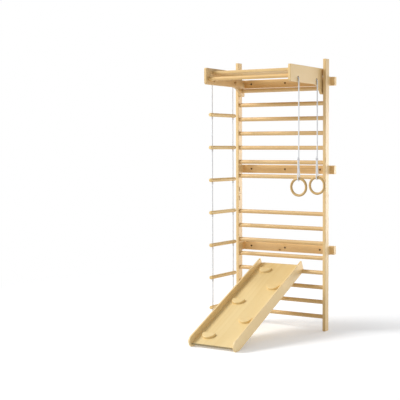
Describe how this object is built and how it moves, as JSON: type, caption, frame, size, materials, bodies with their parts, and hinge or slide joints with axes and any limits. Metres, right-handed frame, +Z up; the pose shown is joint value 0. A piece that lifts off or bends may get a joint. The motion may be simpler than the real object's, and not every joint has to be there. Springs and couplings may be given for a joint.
{
  "type": "wooden climbing wall",
  "caption": "Wooden wall bars with a hooked-on bar unit, rings on ropes, a rope ladder and a climbing ramp with half-moon holds that rests on a rung and the floor.",
  "frame": {"origin": "On the room's wall, at the middle wall-screw hole of the middle plank, on the plank's back face", "axes": "+X along the wall to the viewer's right, +Y into the room's wall, +Z up; the floor is 1.315 m below the origin"},
  "size_m": [0.9345, 1.1594, 2.21],
  "materials": {
    "stile_pine": "clear varnish",
    "rung_beech": "clear varnish",
    "plank_pine": "clear varnish",
    "arm_pine": "clear varnish",
    "ramp_plywood": "clear varnish",
    "ramp_rail_pine": "clear varnish",
    "hold_wood": "clear varnish",
    "ring_beech": "clear varnish",
    "ladder_beech": "clear varnish",
    "white_rope": "braided",
    "dark_whipping": "whipped cord",
    "zinc_steel": "zinc plated"
  },
  "bodies": {
    "wall": {"frame_screws": "zinc_steel", "plank_bottom": "plank_pine", "plank_middle": "plank_pine", "plank_top": "plank_pine", "rung_01": "rung_beech", "rung_02": "rung_beech", "rung_03": "rung_beech", "rung_04": "rung_beech", "rung_05": "rung_beech", "rung_06": "rung_beech", "rung_07": "rung_beech", "rung_08": "rung_beech", "rung_09": "rung_beech", "rung_10": "rung_beech", "rung_11": "rung_beech", "rung_12": "rung_beech", "rung_13": "rung_beech", "rung_14": "rung_beech", "rung_15": "rung_beech", "rung_16": "rung_beech", "spacer_blocks_bottom": "plank_pine", "spacer_blocks_middle": "plank_pine", "spacer_blocks_top": "plank_pine", "stile_connector_nuts": "zinc_steel", "stile_connector_rods": "zinc_steel", "stile_dowels": "rung_beech", "stile_lower_left": "stile_pine", "stile_lower_right": "stile_pine", "stile_upper_left": "stile_pine", "stile_upper_right": "stile_pine"},
    "bar_unit": {"bar_unit_arm_left": "arm_pine", "bar_unit_arm_right": "arm_pine", "shelf_board": "arm_pine", "pull_up_bar": "rung_beech", "bar_unit_screws": "zinc_steel", "bar_unit_screw_plugs": "arm_pine", "rope_ends": "white_rope"},
    "front_ring_rope": {"ring_rope_front": "white_rope", "ring_rope_clasp_front": "dark_whipping"},
    "front_ring": {"ring_front": "ring_beech"},
    "rear_ring_rope": {"ring_rope_rear": "white_rope", "ring_rope_clasp_rear": "dark_whipping"},
    "rear_ring": {"ring_rear": "ring_beech"},
    "rope_ladder": {"ladder_knots": "dark_whipping", "ladder_rope_front": "white_rope", "ladder_rope_rear": "white_rope", "ladder_rung_1": "ladder_beech", "ladder_rung_2": "ladder_beech", "ladder_rung_3": "ladder_beech", "ladder_rung_4": "ladder_beech", "ladder_rung_5": "ladder_beech", "ladder_rung_6": "ladder_beech", "ladder_rung_7": "ladder_beech"},
    "ramp": {"ramp_board": "ramp_plywood", "ramp_rail_left": "ramp_rail_pine", "ramp_rail_right": "ramp_rail_pine", "ramp_hooks": "ramp_rail_pine", "climbing_holds": "hold_wood", "ramp_screws": "zinc_steel", "ramp_screw_plugs": "ramp_rail_pine"}
  },
  "joints": [
    {"name": "bar_lift", "type": "hinge", "parent": "wall", "child": "bar_unit", "pos_m": [0, -0.1, 0.78], "axis": [-1, 0, 0], "range_deg": [0, 25]},
    {"name": "front_rope_swing", "type": "hinge", "parent": "bar_unit", "child": "front_ring_rope", "pos_m": [0.4045, -0.5325, 0.69], "axis": [0, -1, 0], "range_deg": [0, 40]},
    {"name": "front_ring_tilt", "type": "hinge", "parent": "front_ring_rope", "child": "front_ring", "pos_m": [0.3995, -0.5325, -0.057], "axis": [1, 0, 0], "range_deg": [-60, 60]},
    {"name": "rear_rope_swing", "type": "hinge", "parent": "bar_unit", "child": "rear_ring_rope", "pos_m": [0.4045, -0.2235, 0.69], "axis": [0, -1, 0], "range_deg": [0, 40]},
    {"name": "rear_ring_tilt", "type": "hinge", "parent": "rear_ring_rope", "child": "rear_ring", "pos_m": [0.3995, -0.2235, -0.057], "axis": [1, 0, 0], "range_deg": [-60, 33]},
    {"name": "ladder_swing", "type": "hinge", "parent": "bar_unit", "child": "rope_ladder", "pos_m": [-0.4045, -0.378, 0.69], "axis": [0, 1, 0], "range_deg": [0, 50]},
    {"name": "ramp_lift", "type": "hinge", "parent": "wall", "child": "ramp", "pos_m": [0, -0.1, -0.84], "axis": [-1, 0, 0], "range_deg": [0, 50]}
  ]
}
